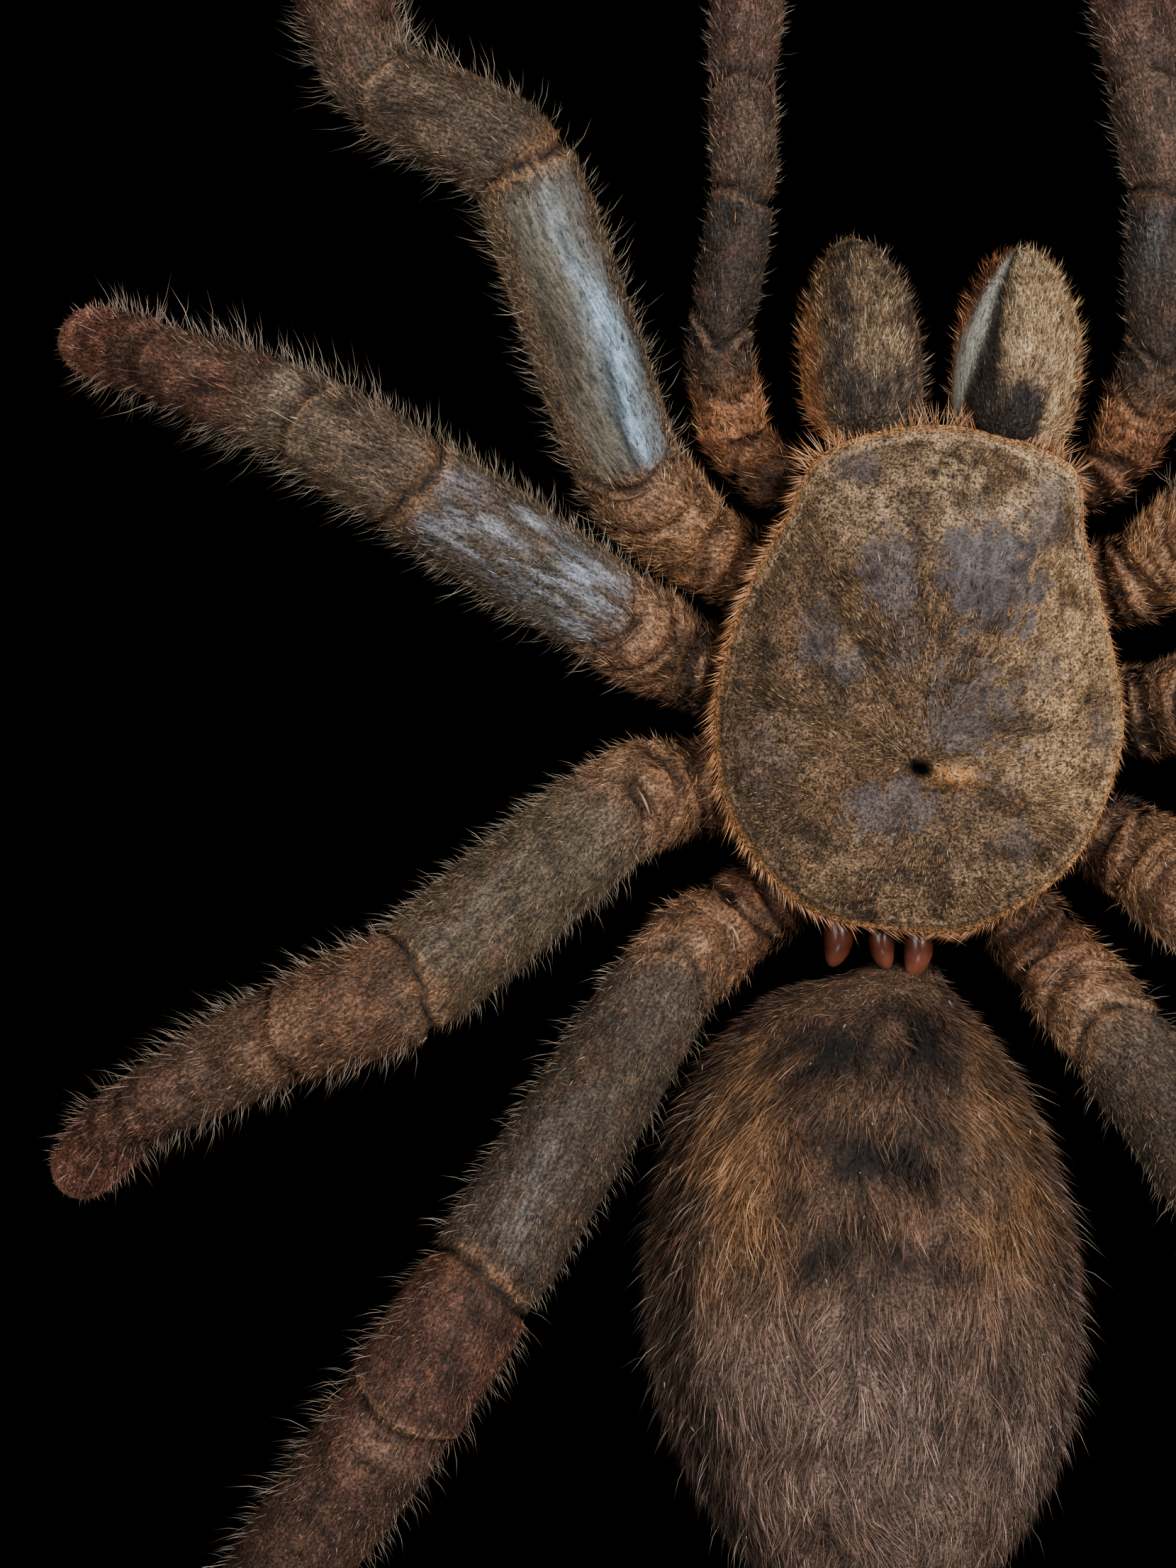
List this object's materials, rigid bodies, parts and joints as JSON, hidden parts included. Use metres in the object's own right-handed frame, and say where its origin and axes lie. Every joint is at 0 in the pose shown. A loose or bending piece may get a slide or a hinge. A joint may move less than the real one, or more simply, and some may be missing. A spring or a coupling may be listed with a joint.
{
  "type": "framed tarantula specimen",
  "caption": "Dried brown tarantula mounted on a black board in a plain black glazed box frame that lies flat or hangs on a wall.",
  "frame": {"origin": "middle of the frame's back, on the surface that it lies on", "axes": "+X to the right and +Y to the top edge of the frame as the spider is looked at, with its head towards +Y; +Z out through the glass"},
  "size_m": [0.147, 0.198, 0.0401],
  "materials": {
    "frame_wood": "black stain with the grain showing, satin",
    "hardboard": "bare pressed fibre",
    "mount_board": "matt black paper facing",
    "glass": "clear, coated against reflections",
    "steel": "zinc plated",
    "carapace": "matt horny shell with short golden down",
    "pelt": "brown bristles, matt"
  },
  "bodies": {
    "root": {"rail_top": "frame_wood", "rail_bottom": "frame_wood", "rail_left": "frame_wood", "rail_right": "frame_wood", "back_panel": "hardboard", "backing_board": "mount_board", "spacer_left": "mount_board", "spacer_right": "mount_board", "spacer_bottom": "mount_board", "spacer_top": "mount_board", "glass": "glass", "hanger": "steel", "cephalothorax": "carapace", "abdomen": "pelt", "chelicera_left": "pelt", "chelicera_right": "pelt", "palp_left": "pelt", "palp_right": "pelt", "leg_1_left": "pelt", "leg_2_left": "pelt", "leg_3_left": "pelt", "leg_4_left": "pelt", "leg_1_right": "pelt", "leg_2_right": "pelt", "leg_3_right": "pelt", "leg_4_right": "pelt"}
  },
  "joints": []
}
